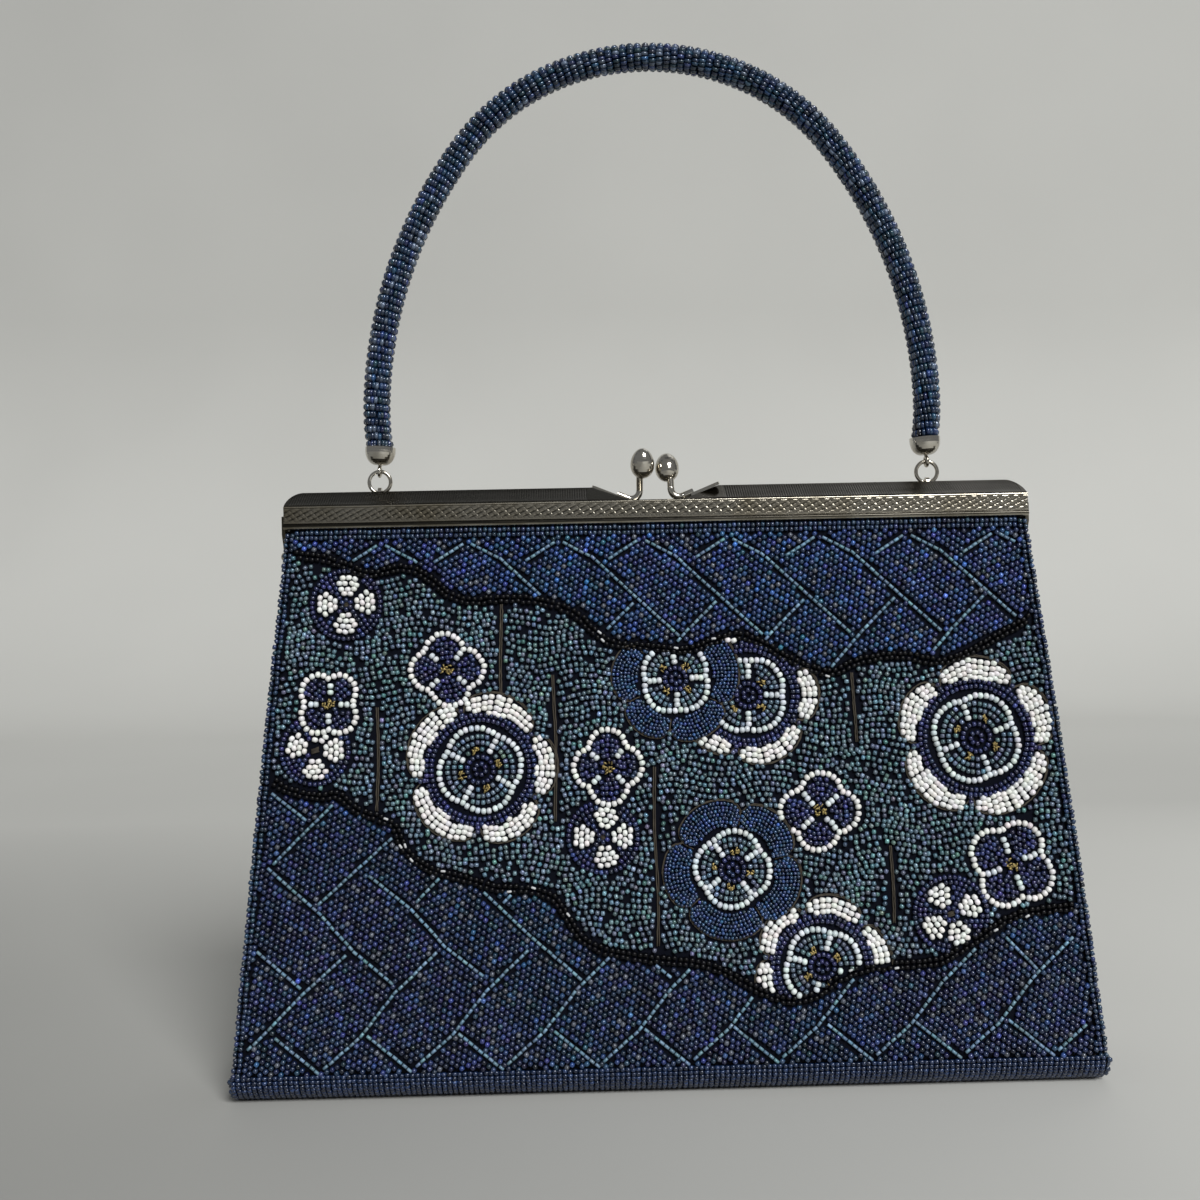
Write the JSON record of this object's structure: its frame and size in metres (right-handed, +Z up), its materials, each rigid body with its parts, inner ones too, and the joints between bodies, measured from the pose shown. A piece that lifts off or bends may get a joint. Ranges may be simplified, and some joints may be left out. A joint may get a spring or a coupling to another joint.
{
  "type": "kiss lock frame purse",
  "caption": "Stiff beaded evening purse with a hinged metal kiss lock frame, folding side gussets, a lining with a slip pocket, and a beaded rope handle on rings.",
  "frame": {"origin": "middle of the base, on the surface that the purse stands on", "axes": "+X along the width, the front faces -Y, +Z up"},
  "size_m": [0.216, 0.038, 0.2666],
  "materials": {
    "beads": "cloth covered with glass beads",
    "satin": "satin lining",
    "board": "stiff buckram board",
    "cord": "twisted paper and cotton cord",
    "nickel": "engraved nickel plate, slightly tarnished"
  },
  "bodies": {
    "bag": {"base_cloth": "beads", "base_board": "board", "front_cloth": "beads", "back_cloth": "beads", "front_board": "board", "back_board": "board", "left_gusset": "beads", "right_gusset": "beads", "front_lining": "satin", "back_lining": "satin", "side_linings": "satin", "slip_pocket": "satin"},
    "rear_jaw": {"rear_frame": "nickel", "rear_frame_cord": "cord", "hinge_rivets": "nickel", "rear_clasp_stem": "nickel", "rear_clasp_knob": "nickel", "left_lug": "nickel", "right_lug": "nickel"},
    "front_jaw": {"front_frame": "nickel", "front_frame_cord": "cord", "front_clasp_stem": "nickel", "front_clasp_knob": "nickel"},
    "left_ring": {"left_ring": "nickel"},
    "right_ring": {"right_ring": "nickel"},
    "handle": {"handle_rope": "beads", "handle_core": "cord", "left_end_cap": "nickel", "right_end_cap": "nickel", "left_cap_eye": "nickel", "right_cap_eye": "nickel"}
  },
  "joints": [
    {"name": "front_jaw_hinge", "type": "hinge", "parent": "bag", "child": "front_jaw", "pos_m": [0, 0, 0.1345], "axis": [1, 0, 0], "range_deg": [0, 40], "deforming": ["front_cloth", "front_lining", "left_gusset", "right_gusset", "side_linings"]},
    {"name": "rear_jaw_hinge", "type": "hinge", "parent": "bag", "child": "rear_jaw", "pos_m": [0, 0, 0.1345], "axis": [1, 0, 0], "range_deg": [-40, 0], "deforming": ["back_cloth", "back_lining"]},
    {"name": "left_lug_pivot", "type": "hinge", "parent": "rear_jaw", "child": "left_ring", "pos_m": [-0.072, 0.0033, 0.15097], "axis": [1, 0, 0], "range_deg": [-100, 75]},
    {"name": "right_lug_pivot", "type": "hinge", "parent": "rear_jaw", "child": "right_ring", "pos_m": [0.072, 0.0033, 0.15097], "axis": [1, 0, 0], "range_deg": [-100, 75]},
    {"name": "handle_pivot", "type": "hinge", "parent": "left_ring", "child": "handle", "pos_m": [-0.072, 0.0033, 0.15657], "axis": [1, 0, 0], "range_deg": [-30, 25]}
  ],
  "couplings": [
    {"joint": "rear_jaw_hinge", "follows": "front_jaw_hinge", "ratio": -1},
    {"joint": "right_lug_pivot", "follows": "left_lug_pivot", "ratio": 1}
  ]
}
